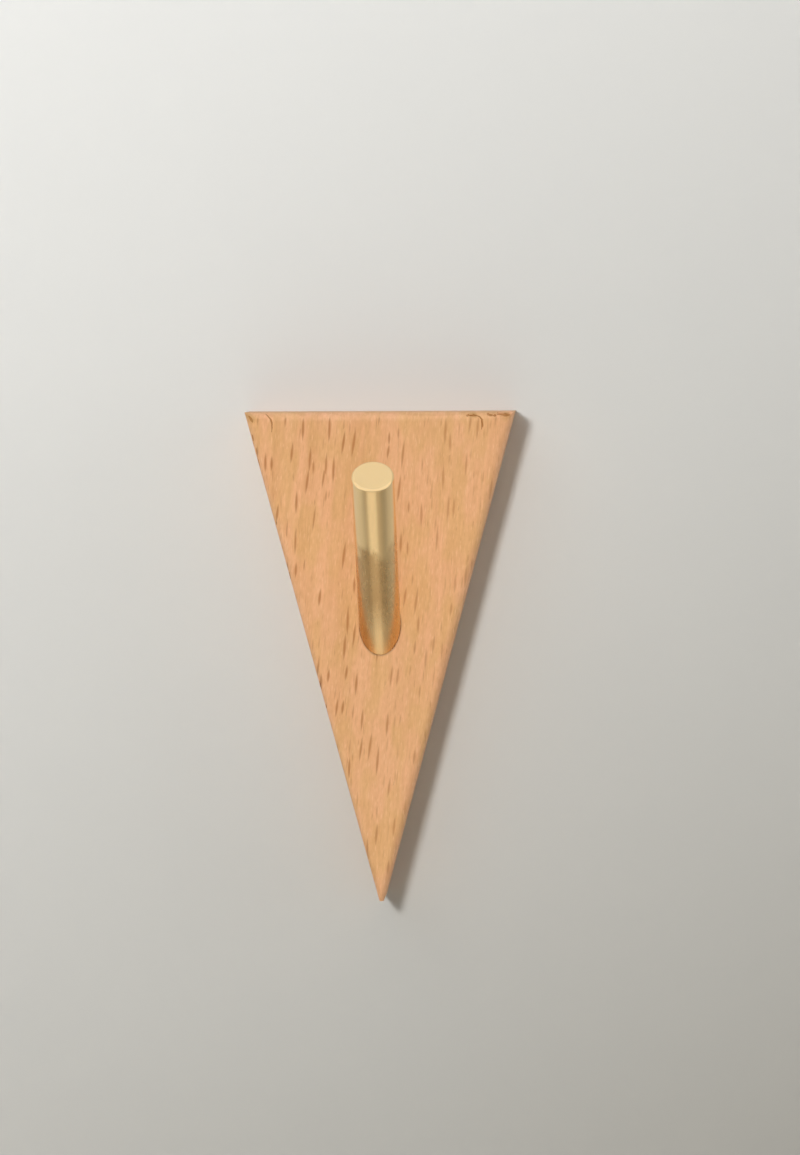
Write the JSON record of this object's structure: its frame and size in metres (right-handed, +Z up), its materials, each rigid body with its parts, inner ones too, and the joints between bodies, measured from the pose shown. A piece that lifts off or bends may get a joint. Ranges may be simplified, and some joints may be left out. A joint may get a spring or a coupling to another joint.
{
  "type": "wall coat hook",
  "caption": "Pointed triangular beech wall plate with a slanting round brass peg for hanging coats, and a keyhole slot in its back for a wall screw.",
  "frame": {"origin": "centre of the wall screw's seat at the top of the keyhole, on the plate's back face", "axes": "+X along the wall to the right as seen from the room, +Y into the wall, +Z up along the plate"},
  "size_m": [0.065, 0.0575, 0.118],
  "materials": {
    "beech": "oiled, satin, upright grain with ray flecks",
    "brass": "polished, slightly dulled"
  },
  "bodies": {
    "root": {"plate": "beech", "peg": "brass"}
  },
  "joints": []
}
